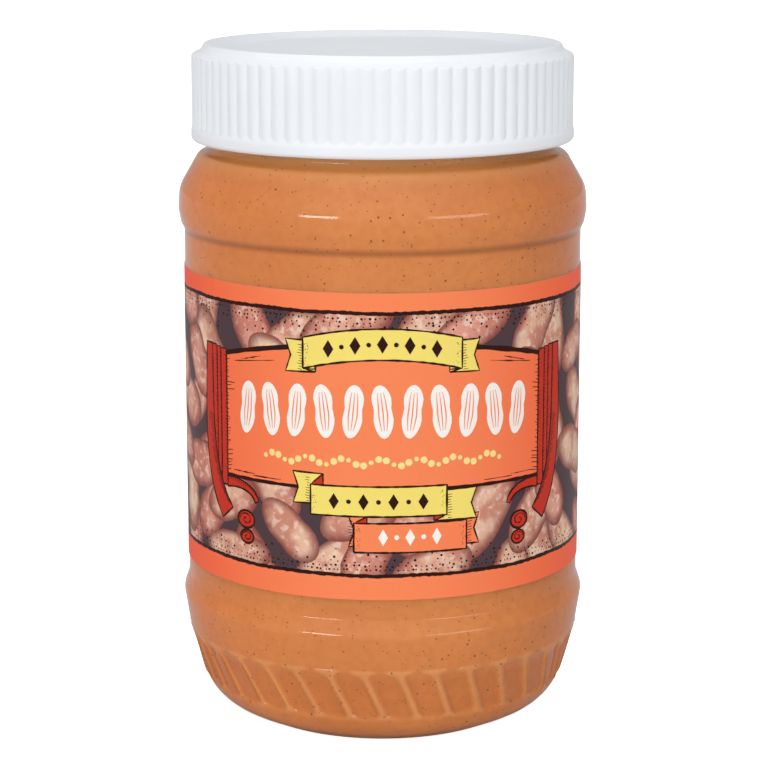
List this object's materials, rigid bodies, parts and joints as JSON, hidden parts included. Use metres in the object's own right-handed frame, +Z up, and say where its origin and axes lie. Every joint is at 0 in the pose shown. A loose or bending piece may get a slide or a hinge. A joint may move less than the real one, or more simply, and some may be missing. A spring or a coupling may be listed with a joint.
{
  "type": "peanut butter jar",
  "caption": "Clear screw-top jar filled with peanut butter, with a ribbed white lid, slanted grip panels round the heel and a paper wrap label.",
  "frame": {"origin": "middle of the foot, on the plane that the jar stands on", "axes": "+Z up along the jar's axis, -Y out of the front of the label"},
  "size_m": [0.074, 0.074, 0.1229],
  "materials": {
    "clear_wall": "clear blow-moulded plastic, glossy",
    "filling": "smooth peanut butter with fine dark specks",
    "label_paper": "satin printed paper with a border of painted peanuts and a plain orange panel",
    "lid_plastic": "satin moulded white plastic"
  },
  "bodies": {
    "root": {"jar": "clear_wall", "peanut_butter": "filling", "label": "label_paper", "lid": "lid_plastic"}
  },
  "joints": []
}
